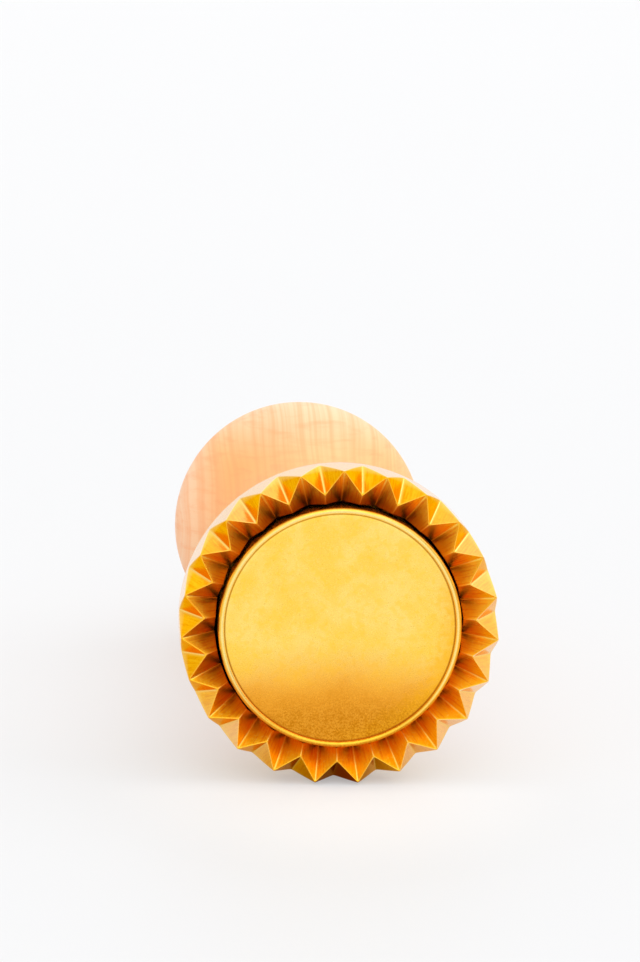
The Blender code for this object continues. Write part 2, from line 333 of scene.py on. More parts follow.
def close_ends(bm, loops):
    """A flat face on the first and on the last loop."""
    bm.faces.new(loops[0])
    bm.faces.new(loops[-1])


def cap(bm, pole, rim):
    """A fan of triangles from a vertex on the axis to a loop."""
    for i, corner in enumerate(rim):
        bm.faces.new((pole, corner, rim[(i + 1) % len(rim)]))


def make_piece(name, bm, material):
    """An object from a shape in the stamp's frame."""
    bmesh.ops.recalc_face_normals(bm, faces=bm.faces)
    place(bm)
    return make_object(name, bm, material)


def lathe(name, outline, segments, material):
    """A turned piece from (r, z) points that start and end on the axis."""
    bm = bmesh.new()
    angles = even_angles(segments)
    loops = [circle_of(bm, angles, r, z) for r, z in outline[1:-1]]
    first, last = (bm.verts.new((0.0, 0.0, z)) for _, z in (outline[0], outline[-1]))
    cap(bm, first, loops[0])
    bridge_all(bm, loops)
    cap(bm, last, loops[-1])
    return make_piece(name, bm, material)


def smooth(piece, sharp_angle):
    """Smooth shading that keeps flat faces flat and edges above this angle, in degrees, sharp."""
    mesh = piece.data
    mesh.shade_smooth()
    mesh.set_sharp_from_angle(angle=math.radians(sharp_angle))
    weighted = piece.modifiers.new("flat_faces", "WEIGHTED_NORMAL")
    weighted.keep_sharp = True
    return piece


def apply_modifiers(piece):
    graph = bpy.context.evaluated_depsgraph_get()
    finished = bpy.data.meshes.new_from_object(piece.evaluated_get(graph), preserve_all_data_layers=True,
                                               depsgraph=graph)
    piece.modifiers.clear()
    piece.data = finished


def hole_cutter(number, outline, material):
    """A turned cutter at the place of one screw. The first screw is the one nearest to the floor."""
    bm = bmesh.new()
    loops = [circle_of(bm, even_angles(HOLE_SIDES), r, z) for r, z in outline]
    bridge_all(bm, loops)
    close_ends(bm, loops)
    angle = math.tau * number / SCREWS
    middle = Vector((math.sin(angle), math.cos(angle), 0.0)) * SCREW_CIRCLE
    bm.transform(Matrix.Translation(middle))
    return make_piece(f"hole_{number}", bm, material)


def cut_holes(piece, outline):
    """Cuts a turned hole at each screw's place."""
    cutters = [hole_cutter(number, outline, piece.data.materials[0]) for number in range(SCREWS)]
    for cutter in cutters:
        cut = piece.modifiers.new("hole", "BOOLEAN")
        cut.operation = "DIFFERENCE"
        cut.solver = "EXACT"
        cut.object = cutter
    bpy.context.view_layer.update()
    apply_modifiers(piece)
    for cutter in cutters:
        bpy.data.objects.remove(cutter)


# ---- Material nodes ---------------------------------------------------------------------------------

class Recipe:
    """A material and short calls for the nodes that it uses. A socket or a number can go in as a value."""

    def __init__(self, name, roughness=0.5, metallic=0.0, **fixed):
        self.material = bpy.data.materials.new(name)
        self.material.use_nodes = True
        self.tree = self.material.node_tree
        self.shader = self.tree.nodes["Principled BSDF"]
        self.shader.inputs["Roughness"].default_value = roughness
        self.shader.inputs["Metallic"].default_value = metallic
        for label, value in fixed.items():
            self.shader.inputs[label.replace("_", " ")].default_value = value

    def node(self, kind, out=0, inputs=None, **settings):
        made = self.tree.nodes.new(kind)
        for key, value in settings.items():
            setattr(made, key, value)
        for key, value in (inputs or {}).items():
            self.feed(made.inputs[key], value)
        return made.outputs[out]

    def feed(self, socket, value):
        if isinstance(value, bpy.types.NodeSocket):
            self.tree.links.new(value, socket)
        else:
            socket.default_value = value

    def math(self, operation, a, b=0.0):
        return self.node("ShaderNodeMath", inputs={0: a, 1: b}, operation=operation)

    def plus(self, a, b):
        return self.math("ADD", a, b)

    def minus(self, a, b):
        return self.math("SUBTRACT", a, b)

    def times(self, a, b):
        return self.math("MULTIPLY", a, b)

    def off(self, value, middle):
        """How far the value is from middle, on either side."""
        return self.math("ABSOLUTE", self.minus(value, middle))

    def hypot(self, a, b):
        return self.math("SQRT", self.plus(self.times(a, a), self.times(b, b)))

    def object_place(self):
        return self.node("ShaderNodeTexCoord", out="Object")

    def stamp_place(self):
        """This point in the stamp's frame, in millimetres."""
        metres = self.node("ShaderNodeMapping", vector_type="TEXTURE", inputs={
            "Vector": self.object_place(), "Location": STAMP.translation, "Rotation": STAMP.to_euler()})
        return self.stretched(metres, (1 / MM,) * 3)

    def stretched(self, vector, scale):
        return self.node("ShaderNodeMapping", inputs={"Vector": vector, "Scale": scale})

    def parts(self, vector):
        split = self.node("ShaderNodeSeparateXYZ", inputs={0: vector}).node
        return split.outputs[0], split.outputs[1], split.outputs[2]

    def joined(self, x, y, z):
        return self.node("ShaderNodeCombineXYZ", inputs={0: x, 1: y, 2: z})

    def noise(self, vector, scale, detail=2.0, roughness=0.5, distortion=0.0):
        return self.node("ShaderNodeTexNoise", inputs={
            "Vector": vector, "Scale": scale, "Detail": detail, "Roughness": roughness,
            "Distortion": distortion})

    def remap(self, value, low, high, to_low=0.0, to_high=1.0):
        """A soft step from to_low at low to to_high at high."""
        return self.node("ShaderNodeMapRange", interpolation_type="SMOOTHSTEP", inputs={
            "Value": value, "From Min": low, "From Max": high, "To Min": to_low, "To Max": to_high})

    def mix(self, factor, a, b):
        made = self.tree.nodes.new("ShaderNodeMix")
        made.data_type = "RGBA"
        self.feed(made.inputs[0], factor)
        for socket, value in ((made.inputs[6], a), (made.inputs[7], b)):
            self.feed(socket, value if isinstance(value, bpy.types.NodeSocket) else (*value, 1.0))
        return made.outputs[2]

    def layered(self, colour, *layers):
        """The colour with these layers (mask, tone) over it, one after the other."""
        for mask, tone in layers:
            colour = self.mix(mask, colour, tone)
        return colour

    def attribute(self, name):
        return self.node("ShaderNodeAttribute", out="Fac", attribute_name=name)

    def bump(self, height, distance, strength=0.5):
        return self.node("ShaderNodeBump", inputs={
            "Height": height, "Distance": distance, "Strength": strength})

    def finish(self, colour, roughness=None, normal=None):
        self.feed(self.shader.inputs["Base Color"], colour)
        if roughness is not None:
            self.feed(self.shader.inputs["Roughness"], roughness)
        if normal is not None:
            self.feed(self.shader.inputs["Normal"], normal)
        return self.material


# ---- Materials --------------------------------------------------------------------------------------

def die_brass():
    """Milled brass: streaks along the teeth, a dull cavity with tarnish and painted shade, and painted highlights
    in the creases and on some sides of the teeth, with painted shade on others.
    """
    r = Recipe("brass_die", metallic=1.0, Coat_Roughness=0.15, Coat_IOR=2.0)
    place_mm = r.stamp_place()
    x, down, along = r.parts(place_mm)
    radius = r.hypot(x, down)
    around = r.times(r.math("ARCTAN2", x, down), DIE_RADIUS)
    patches = r.noise(place_mm, 0.32, detail=3.0)
    grain = r.noise(place_mm, 2.6, detail=4.0, roughness=0.6)
    drawn = r.joined(r.times(around, 4.0), r.times(along, 0.25), r.times(radius, 0.25))
    streaks = r.noise(drawn, 1.0, detail=3.0)
    tarnish_and_shade = r.attribute("tarnish_and_shade")
    # pale: painted highlight on some sides of the teeth
    pale = r.attribute("pale")
    # painted shade on the lower sides of the teeth and in some flutes
    painted_shade = r.attribute("painted_shade")
    flute = r.remap(tarnish_and_shade, 0.0, 0.05)
    # painted shade in the upper flutes near the cavity
    shaded_near_cavity = r.times(r.remap(down, -10.0, -21.0), r.remap(radius, 23.0, 20.8))
    # painted sheen: the rim's outer band is paler; the same mask sets the rim's clear coat
    rim = r.remap(radius, DIE_RADIUS - 0.12, DIE_RADIUS - 0.03, 0.0, 0.85)
    inside = r.layered(
        r.mix(r.remap(down, -18.0, 20.0), (1.0, 0.68, 0.055), (1.0, 0.52, 0.008)),
        (r.remap(streaks, 0.45, 0.7, 0.0, 0.6), (0.80, 0.22, 0.004)),  # brown streaks
        (r.remap(grain, 0.52, 0.72, 0.0, 0.5), (1.0, 0.72, 0.10)),  # bright grain
    )
    back = r.mix(r.remap(patches, 0.35, 0.65), (0.97, 0.55, 0.07), (1.0, 0.66, 0.14))
    colour = r.layered(
        r.mix(r.remap(patches, 0.35, 0.65), (0.95, 0.42, 0.005), (0.98, 0.48, 0.01)),
        (r.remap(streaks, 0.42, 0.7, 0.0, 0.5), (0.98, 0.55, 0.02)),  # bright streaks
        (r.remap(streaks, 0.5, 0.34, 0.0, 0.35), (0.78, 0.26, 0.003)),  # dark streaks
        (r.remap(grain, 0.5, 0.7, 0.0, 0.35), (0.80, 0.28, 0.004)),  # dull grain
        # painted highlight on some sides of the teeth
        (pale, (1.0, 0.82, 0.62)),
        (flute, inside),
        (r.times(r.times(flute, 0.75), shaded_near_cavity), (0.45, 0.16, 0.01)),  # painted shade in the upper flutes near the cavity
        # wear with painted highlights along the creases
        (r.attribute("wear_and_highlight"), (1.0, 0.74, 0.24)),
        # painted sheen on the rim
        (rim, (0.99, 0.66, 0.26)),
        (r.remap(along, 7.6, 9.0), back),
        # painted shade
        (painted_shade, (0.20, 0.05, 0.002)),
        # nearly black cavity wall: tarnish and painted shade
        (r.remap(tarnish_and_shade, 0.1, 1.0), (0.05, 0.018, 0.004)),
    )
    sheen = r.layered(
        r.mix(flute, (1.0, 0.66, 0.30), (1.0, 0.62, 0.10)),
        (r.math("MAXIMUM", rim, pale), (1.0, 0.88, 0.78)),
        (painted_shade, (0.7, 0.35, 0.1)),
    )
    r.feed(r.shader.inputs["Coat Weight"], rim)
    r.feed(r.shader.inputs["Specular Tint"], sheen)
    rough = r.plus(r.remap(grain, 0.3, 0.7, 0.17, 0.27), r.times(flute, 0.11))
    height = r.plus(r.times(streaks, 0.6), r.times(grain, 0.4))
    return r.finish(colour, rough, r.bump(height, 0.02 * MM))


def curly_scratches(r, place_mm):
    """Thin lines along the level curves of a twisted noise."""
    curls = r.noise(place_mm, 0.55, detail=2.0, distortion=1.5)
    level = r.math("FRACT", r.times(curls, 14.0))
    return r.remap(r.off(level, 0.5), 0.02, 0.07, 1.0, 0.0)


def plate_brass():
    """Lapped brass with fine curly scratches and specks; painted shade near the lower edge, in the lip's groove
    and on the lip's outer half and side, and a painted highlight on the lip's crest.
    """
    r = Recipe("brass_plate", metallic=1.0)
    place_mm = r.stamp_place()
    x, y, along = r.parts(place_mm)
    radius = r.hypot(x, y)
    cloud = r.noise(place_mm, 0.16, detail=4.0, roughness=0.55)
    mottle = r.noise(place_mm, 0.9, detail=5.0, roughness=0.65)
    grit = r.noise(place_mm, 3.2, detail=3.0, roughness=0.7)
    specks = r.noise(place_mm, 5.0, detail=2.0)
    scratch = r.times(curly_scratches(r, place_mm), r.remap(cloud, 0.42, 0.6))
    # depth grows towards the bottom; it sets painted shade that stands for the darker floor mirrored in the lower
    # face
    depth = r.minus(r.plus(y, r.times(cloud, 5.0)), r.times(r.off(x, 1.0), 0.1))
    blotch = r.remap(r.plus(r.times(mottle, 0.45), grit), 0.58, 0.88, 0.35, 1.0)
    near_lip = r.remap(r.plus(radius, r.times(mottle, 6.0)), 17.5, 22.0, 0.0, 0.7)
    lower_right = r.remap(r.plus(x, r.times(y, 0.6)), 6.0, 18.0)
    # painted highlight on the lip's crest, paler at the top
    crest_highlight = r.mix(r.remap(y, 6.0, 18.0), (1.0, 0.84, 0.36), (1.0, 0.66, 0.06))
    face = r.layered(
        r.mix(r.remap(cloud, 0.35, 0.65), (0.99, 0.64, 0.09), (1.0, 0.71, 0.17)),
        (r.remap(mottle, 0.48, 0.62, 0.0, 0.4), (1.0, 0.60, 0.04)),  # deeper yellow patches
        (r.remap(grit, 0.52, 0.68, 0.0, 0.3), (0.98, 0.74, 0.26)),  # pale grit
        # painted shade: brown lower part
        (r.remap(depth, 3.5, 14.5), (0.93, 0.40, 0.035)),  # brown lower part
        (r.times(near_lip, lower_right), (1.0, 0.48, 0.012)),
        # painted shade: dark blotches at the bottom
        (r.times(r.remap(depth, 9.0, 19.0), blotch), (0.55, 0.185, 0.003)),  # dark blotches at the bottom
        (r.times(scratch, r.remap(depth, -2.0, 12.0, 0.12, 0.5)), (0.80, 0.40, 0.03)),
        (r.remap(specks, 0.66, 0.74, 0.0, 0.35), (0.55, 0.22, 0.01)),
        # painted shade: dark line in the groove at the lip's foot
        (r.remap(r.off(radius, LIP_INNER_RADIUS - 0.06), 0.05, 0.17, 0.75, 0.0), (0.50, 0.18, 0.008)),
        (r.remap(radius, 19.4, 19.75, 0.0, 0.6), (0.72, 0.30, 0.02)),  # painted shade on the outer half of the lip
        # painted highlight on the lip's crest
        (r.remap(r.off(radius, LIP_CREST_RADIUS), 0.08, 0.25, 0.6, 0.0), crest_highlight),
    )
    # painted shade on the plate's side and back
    behind = r.mix(r.remap(radius, 18.95, PLATE_RADIUS - 0.2), face, (0.75, 0.34, 0.03))
    colour = r.mix(r.remap(along, 0.5, 0.9, 0.0, 0.9), face, behind)
    height = r.plus(mottle, r.times(scratch, -0.3))
    return r.finish(colour, r.remap(mottle, 0.3, 0.7, 0.22, 0.34), r.bump(height, 0.015 * MM))


def beech():
    """Pale beech with upright growth rings, fine rays across them and short pores along the grain."""
    r = Recipe("beech")
    place_mm = r.stamp_place()
    x, y, _ = r.parts(place_mm)
    drift = r.noise(r.stretched(place_mm, (0.05, 0.05, 0.008)), 1.0, detail=2.0)
    ring_place = r.plus(x, r.times(drift, 5.0))
    rings = r.noise(r.joined(ring_place, 0.0, 0.0), 0.72, detail=2.0, roughness=0.6)
    rays = r.noise(r.stretched(place_mm, (0.12, 0.9, 0.3)), 1.0, detail=3.0, distortion=0.3)
    pores = r.noise(r.stretched(place_mm, (6.0, 6.0, 0.5)), 1.0, detail=1.0)
    # painted light: the top and the left side of the handle paler
    painted_light = r.math("MAXIMUM", r.remap(y, -12.0, -23.0, 0.0, 0.55), r.remap(x, -13.0, -22.0, 0.0, 0.6))
    colour = r.layered(
        r.mix(r.remap(drift, 0.35, 0.65), (0.95, 0.46, 0.16), (0.96, 0.53, 0.21)),
        (painted_light, (0.97, 0.74, 0.54)),
        (r.remap(rings, 0.38, 0.64, 0.0, 0.46), (0.93, 0.37, 0.14)),
        (r.remap(rays, 0.45, 0.75, 0.0, 0.42), (0.92, 0.36, 0.14)),
        (r.remap(pores, 0.66, 0.78, 0.0, 0.25), (0.72, 0.38, 0.18)),
    )
    height = r.plus(rings, r.times(pores, -0.5))
    return r.finish(colour, r.remap(rings, 0.3, 0.7, 0.42, 0.55), r.bump(height, 0.03 * MM))


def plated_steel(name, tone, roughness):
    """Zinc-plated or drawn steel with a fine lathe grain and dull spots."""
    r = Recipe(name, metallic=1.0)
    place_mm = r.stamp_place()
    grain = r.noise(r.stretched(place_mm, (0.6, 0.6, 7.0)), 1.0, detail=3.0)
    spots = r.noise(place_mm, 1.1, detail=4.0)
    dull = tuple(channel * 0.72 for channel in tone)
    colour = r.mix(r.remap(spots, 0.4, 0.7), tone, dull)
    rough = r.remap(spots, 0.3, 0.7, roughness, roughness + 0.15)
    return r.finish(colour, rough, r.bump(grain, 0.01 * MM))


def moulded(name, tone, roughness):
    """Plastic or rubber with a faint moulding texture."""
    r = Recipe(name)
    place_mm = r.stamp_place()
    cloud = r.noise(place_mm, 0.8, detail=3.0)
    grain = r.noise(place_mm, 9.0, detail=2.0)
    dark = tuple(channel * 0.82 for channel in tone)
    rough = r.remap(grain, 0.3, 0.7, roughness - 0.08, roughness + 0.08)
    return r.finish(r.mix(cloud, tone, dark), rough, r.bump(grain, 0.01 * MM, 0.6))


def lit_acrylic():
    """White acrylic that glows a little, and more in a soft oval just in front of the stamp: a painted pool of
    light.
    """
    r = Recipe("floor", roughness=0.6, Emission_Color=(1.0, 1.0, 1.0, 1.0))
    place_m = r.object_place()
    cloud = r.noise(place_m, 1.5, detail=2.0)
    x, y, _ = r.parts(place_m)
    # painted pool of light: a brighter glowing oval just in front of the stamp
    across = r.math("DIVIDE", x, FRONT_GLOW_REACH[0])
    ahead = r.math("DIVIDE", r.minus(y, CAD_BOX[0][1] - FRONT_GLOW_GAP), FRONT_GLOW_REACH[1])
    oval = r.remap(r.hypot(across, ahead), 0.0, 1.0, FRONT_GLOW, 0.0)
    painted_pool = r.times(oval, r.remap(ahead, *FRONT_GLOW_EDGE))
    r.feed(r.shader.inputs["Emission Strength"], r.plus(painted_pool, FLOOR_GLOW))
    return r.finish(r.mix(cloud, (0.428, 0.431, 0.439), (0.448, 0.451, 0.459)))


# ---- Die --------------------------------------------------------------------------------------------

HALF_PITCH = math.pi / TEETH
SIDE_ANGLE = math.atan2(EDGE_ROOT_RADIUS * math.sin(HALF_PITCH),
                        DIE_RADIUS - EDGE_ROOT_RADIUS * math.cos(HALF_PITCH))
SIDE_DISTANCE = DIE_RADIUS * math.sin(SIDE_ANGLE)
OUTER_RATE = (DIE_RADIUS - EDGE_ROOT_RADIUS) / GROOVE_DEPTH * math.sin(SIDE_ANGLE + HALF_PITCH)
INNER_RATE = (DIE_RADIUS - CAVITY_RADIUS) / FLUTE_DEPTH * math.sin(SIDE_ANGLE)
COLUMNS = 14
COLUMN_CROWDING = 2.2
COARSE_STEP = 7
CORNER_STEPS = 4
TO_EDGE = (0.25, 0.5, 0.75, 0.96)
FROM_EDGE = (0.04, 0.25, 0.5, 0.75)
DOWN_THE_WALL = (0.08, 0.4, 0.7)


def half_tooth_columns():
    """Angles from a tip to the next root, crowded at both, without the root."""
    angles = []
    for i in range(COLUMNS):
        share = math.tanh(COLUMN_CROWDING * (2 * i / COLUMNS - 1)) / math.tanh(COLUMN_CROWDING)
        angles.append(HALF_PITCH * 0.5 * (1 + share))
    return angles


def all_columns():
    """Every column's angle around the axis, its angle from the nearest tip, and its side of that tip."""
    half = half_tooth_columns()
    columns = []
    for tooth in range(TEETH):
        start = tooth * 2 * HALF_PITCH
        columns += [(start + a, a, 1) for a in half]
        columns += [(start + 2 * HALF_PITCH - a, a, -1) for a in [HALF_PITCH] + half[:0:-1]]
    return columns


def turn_at(from_tip, tip_round, root_round):
    """The sine that sets a side's radius, with the creases at the tip and at the root rounded."""
    at_tip = math.hypot(from_tip, tip_round / DIE_RADIUS)
    eased = HALF_PITCH - math.hypot(HALF_PITCH - at_tip, root_round / EDGE_ROOT_RADIUS)
    return math.sin(SIDE_ANGLE + eased)


def bell(distance, width):
    """1 in the middle, and next to nothing two widths away from it."""
    return math.exp(-(distance / width) ** 2)


def cup_and_rim(groove_end):
    """Outline (r, z) of the outside, from the cup's back to where the groove or the bare rim ends."""
    # Behind TAPER_START the rim follows the floor, which also touches the knob.
    slope = (DIE_RADIUS - KNOB_RADIUS) / (KNOB_PLACE - TAPER_START)
    rim_back = DIE_RADIUS - slope * (RIM_DEPTH - RIM_CHAMFER - TAPER_START)
    cup = rounded([(CUP_RADIUS - 2 * CUP_ROUND, WEB_BACK, 0), (CUP_RADIUS, WEB_BACK, CUP_ROUND),
                   (CUP_RADIUS, RIM_DEPTH + COVE, 0)], 6)
    cove = arc((CUP_RADIUS + COVE, RIM_DEPTH + COVE), COVE, COVE, 180, 270, 8)[1:]
    rim = rounded([cove[-1] + (0,), (rim_back - RIM_CHAMFER, RIM_DEPTH, RIM_CUT),
                   (rim_back, RIM_DEPTH - RIM_CHAMFER, RIM_CUT), (DIE_RADIUS, TAPER_START, 0),
                   (DIE_RADIUS, groove_end, 0)])
    return cup + cove + rim[1:-1]


def edge_corners(from_tip):
    """Corners (r, z, cut) from the rim over the groove, the edge and the flute to the cavity's wall."""
    outside_turn = turn_at(from_tip, RIDGE_ROUND, GROOVE_ROUND)
    inside_turn = turn_at(from_tip, FLUTE_ROUND, RIDGE_ROUND)
    half_land = EDGE_LAND / 2
    groove_end = max(TIP_CHAMFER, (DIE_RADIUS * outside_turn - SIDE_DISTANCE - half_land) / OUTER_RATE)
    edge_outer = min((SIDE_DISTANCE + half_land) / outside_turn, DIE_RADIUS - TIP_CHAMFER)
    edge_inner = (SIDE_DISTANCE - half_land) / inside_turn
    flute_end = (SIDE_DISTANCE - half_land - CAVITY_RADIUS * inside_turn) / INNER_RATE
    return [(DIE_RADIUS, TAPER_START, 0), (DIE_RADIUS, groove_end, GROOVE_END_CUT),
            (edge_outer, 0.0, EDGE_CUT), (edge_inner, 0.0, EDGE_CUT),
            (CAVITY_RADIUS, flute_end, FLUTE_END_CUT), (CAVITY_RADIUS, WEB_FRONT, 0)]


def cavity_wall(flute_end):
    """Outline (r, z) of the cavity's wall and its fillet into the web."""
    bottom = WEB_FRONT - CAVITY_FILLET
    wall = between((CAVITY_RADIUS, flute_end), (CAVITY_RADIUS, bottom), DOWN_THE_WALL)
    return wall + arc((CAVITY_RADIUS - CAVITY_FILLET, bottom), CAVITY_FILLET, CAVITY_FILLET, 0, 90, 5)


def tooth_profile(from_tip):
    """One column of the die, ((r, z), wear and painted highlight, tarnish and painted shade, part), from the cup's
    back to the cavity's bottom.
    """
    corners = edge_corners(from_tip)
    groove_end = corners[1][1]
    flute_end = corners[4][1]
    edge = rounded(corners, CORNER_STEPS)[1:-1]
    count = CORNER_STEPS + 1
    groove, outer_edge, inner_edge, flute = (edge[count * i:count * i + count] for i in range(4))
    from_root = (HALF_PITCH - from_tip) * EDGE_ROOT_RADIUS
    # painted highlights along the creases
    groove_highlight = GROOVE_HIGHLIGHT[0] * bell(from_root, GROOVE_HIGHLIGHT[1])
    inside_highlight = RIDGE_HIGHLIGHT[0] * bell(from_root, RIDGE_HIGHLIGHT[1])
    inside_highlight += FLUTE_HIGHLIGHT[0] * bell(from_tip * DIE_RADIUS, FLUTE_HIGHLIGHT[1])
    outer_side = between(groove[-1], outer_edge[0], TO_EDGE)
    inner_side = between(inner_edge[-1], flute[0], FROM_EDGE)
    rows = [(p, 0.0, 0.0, "rim") for p in cup_and_rim(groove_end)]
    rows += [(p, max(GROOVE_END_WEAR_AND_HIGHLIGHT, groove_highlight), 0.0, "outside") for p in groove]
    rows += [(p, groove_highlight, 0.0, "outside") for p in outer_side]
    rows += [(p, EDGE_WEAR_AND_HIGHLIGHT, 0.0, "outside") for p in outer_edge]
    rows += [(p, EDGE_WEAR_AND_HIGHLIGHT, 0.0, "edge") for p in inner_edge]
    rows += [(p, inside_highlight, FLUTE_TARNISH, "flute") for p in inner_side + flute]
    rows += [(p, 0.0, 1.0, "cavity") for p in cavity_wall(flute_end)]
    return rows


def amount_at(angle, side, fields):
    """How strong these fields are on this side of the teeth at this angle around the axis."""
    degrees = math.degrees(angle)
    amount = 0.0
    for field_side, middle, width, strength in fields:
        if field_side == side:
            amount += strength * bell(degrees - middle, width)
    return amount


def mark_corner(corner, layers, row, angle, side):
    """Stores a corner's wear and painted highlight, tarnish and painted shade, pale painted highlight and painted
    shade.
    """
    _, wear_and_highlight, tarnish_and_shade, part = row
    corner[layers["wear_and_highlight"]] = wear_and_highlight
    corner[layers["tarnish_and_shade"]] = tarnish_and_shade
    if part == "outside":
        # painted shade on the lower sides of the teeth
        painted_shade = amount_at(angle, side, SHADED_SIDES)
        corner[layers["painted_shade"]] = painted_shade
        # pale painted highlight, kept off the painted shade
        corner[layers["pale"]] = min(1.0, amount_at(angle, side, HIGHLIGHT_SIDES)) * (1.0 - painted_shade)
    if part == "flute":
        # painted shade in the flutes
        corner[layers["painted_shade"]] = amount_at(angle, side, SHADED_FLUTES)


def web_and_boss():
    """Outline (r, z) of the web, bush bore and boss, from the cavity side to the back."""
    front_chamfer, back_chamfer = BUSH_BORE_CHAMFERS
    front = [(r, WEB_FRONT) for r in WEB_RINGS]
    bore = [(BUSH_BORE + front_chamfer, WEB_FRONT), (BUSH_BORE, WEB_FRONT + front_chamfer),
            (BUSH_BORE, BOSS_BACK - back_chamfer), (BUSH_BORE + back_chamfer, BOSS_BACK)]
    boss = [(BOSS_RADIUS - BOSS_CHAMFER, BOSS_BACK), (BOSS_RADIUS, BOSS_BACK - BOSS_CHAMFER),
            (BOSS_RADIUS, WEB_BACK + BOSS_FILLET), (BOSS_RADIUS + BOSS_FILLET, WEB_BACK)]
    back = [(WEB_RINGS[1], WEB_BACK), (CUP_RADIUS - 3 * CUP_ROUND, WEB_BACK)]
    return front + bore + boss + back


def fan_in(bm, dense, coarse):
    """Flat many-sided faces between a dense loop and one with every COARSE_STEP-th column."""
    count = len(coarse)
    for i in range(count):
        stretch = [dense[(i * COARSE_STEP + k) % len(dense)] for k in range(COARSE_STEP + 1)]
        bm.faces.new([*stretch, coarse[(i + 1) % count], coarse[i]])


def wear_flat(bm):
    """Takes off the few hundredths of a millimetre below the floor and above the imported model's top."""
    low, high = CAD_BOX[0][2], CAD_BOX[1][2]
    for corner in bm.verts:
        corner.co.z = min(max(corner.co.z, low), high)


def tooth_loops(bm, columns):
    """The die's dense loops, from the cup's back to the cavity's bottom, with their marks."""
    layers = {name: bm.verts.layers.float.new(name) for name in ("wear_and_highlight", "tarnish_and_shade", "pale", "painted_shade")}
    angles = [angle for angle, _, _ in columns]
    profiles = [tooth_profile(from_tip) for _, from_tip, _ in columns]
    loops = []
    for rows in zip(*profiles):
        loop = ring_of(bm, angles, [row[0][0] for row in rows], [row[0][1] for row in rows])
        for corner, row, (angle, _, side) in zip(loop, rows, columns):
            mark_corner(corner, layers, row, angle, side)
        loops.append(loop)
    return loops


def make_die(material):
    bm = bmesh.new()
    columns = all_columns()
    loops = tooth_loops(bm, columns)
    coarse_angles = [angle for angle, _, _ in columns[::COARSE_STEP]]
    coarse = [circle_of(bm, coarse_angles, r, z) for r, z in web_and_boss()]
    bridge_all(bm, loops)
    bridge_all(bm, coarse)
    fan_in(bm, loops[-1], coarse[0])
    fan_in(bm, loops[0], coarse[-1])
    bmesh.ops.recalc_face_normals(bm, faces=bm.faces)
    place(bm)
    wear_flat(bm)
    die = make_object("fluted_die_brass", bm, material)
    cut_holes(die, [(HEAD_HOLE_RADIUS, WEB_FRONT - OVERSHOOT), (HEAD_HOLE_RADIUS, WEB_FRONT + HEAD_HOLE_RIM),
                    (SHANK_HOLE_RADIUS, WEB_FRONT + HEAD_HOLE_DEPTH),
                    (SHANK_HOLE_RADIUS, WEB_BACK + 2 * OVERSHOOT)])
    return smooth(die, 40)


# ---- Ejector plate ----------------------------------------------------------------------------------

def make_plate(material):
    """The plate's face inside its rounded lip, its skirt, and the boss that takes the stem."""
    middle = (PLATE_RADIUS + LIP_INNER_RADIUS) / 2
    half_lip = (PLATE_RADIUS - LIP_INNER_RADIUS) / 2
    lip_root = LIP_FRONT + half_lip
    inner = PLATE_RADIUS - SKIRT_WALL
    inside = FACE_PLACE + PLATE_THICKNESS
    outline = [(0.0, FACE_PLACE)]
    outline += [(r, FACE_PLACE) for r in FACE_RINGS]
    outline += [(r, FACE_PLACE + depth) for r, depth in LIP_GROOVE]
    outline += arc((middle, lip_root), half_lip, half_lip, 180, 360, 16)
    outline += rounded([(PLATE_RADIUS, SKIRT_START, 0), (PLATE_RADIUS, PLATE_BACK, 0.2),
                        (inner, PLATE_BACK, 0.2), (inner, inside, 0.4), (PLATE_BOSS_RADIUS, inside, 0.3),
                        (PLATE_BOSS_RADIUS, PLATE_BACK, 0.2), (STEM_HOLE_RADIUS, PLATE_BACK, 0.15),
                        (STEM_HOLE_RADIUS, STEM_HOLE_BOTTOM, 0.1), (0.0, STEM_HOLE_BOTTOM, 0)])
    return smooth(lathe("ejector_plate_brass", outline, PLATE_SEGMENTS, material), 50)


# ---- Handle -----------------------------------------------------------------------------------------

def handle_outline():
    """The handle's outer side, from the end of the dome to the collar's front face."""
    dome = arc((0.0, KNOB_PLACE), KNOB_RADIUS, DOME_LENGTH, 90, 0, 40)
    edge = arc((KNOB_RADIUS - KNOB_EDGE, KNOB_PLACE), KNOB_EDGE, KNOB_EDGE, 0, -KNOB_EDGE_ARC, 16)[1:]
    r, z = edge[-1]
    grip_end = (GRIP_RADIUS, GRIP_PLACE)
    neck = (NECK_RADIUS, NECK_PLACE)
    collar_side = COLLAR_RADIUS - COLLAR_ROUND
    flare = bezier((r, z), (r - 3.0, z - 2.7), (GRIP_RADIUS + 0.3, GRIP_PLACE + 6.0), grip_end, 16)
    grip = bezier(grip_end, (GRIP_RADIUS - 0.3, GRIP_PLACE - 9.0), (NECK_RADIUS, NECK_PLACE + 10.0), neck,
                  16)
    throat = bezier(neck, (NECK_RADIUS, NECK_PLACE - 9.0), (COLLAR_RADIUS - 3.5, COLLAR_BACK + 3.0),
                    (collar_side, COLLAR_BACK), 16)
    collar = arc((collar_side, COLLAR_BACK - COLLAR_ROUND), COLLAR_ROUND, COLLAR_ROUND, 90, 0, 8)[1:]
    lower = arc((collar_side, HANDLE_FRONT + COLLAR_ROUND), COLLAR_ROUND, COLLAR_ROUND, 0, -90, 8)
    return dome + edge + flare + grip + throat + collar + lower


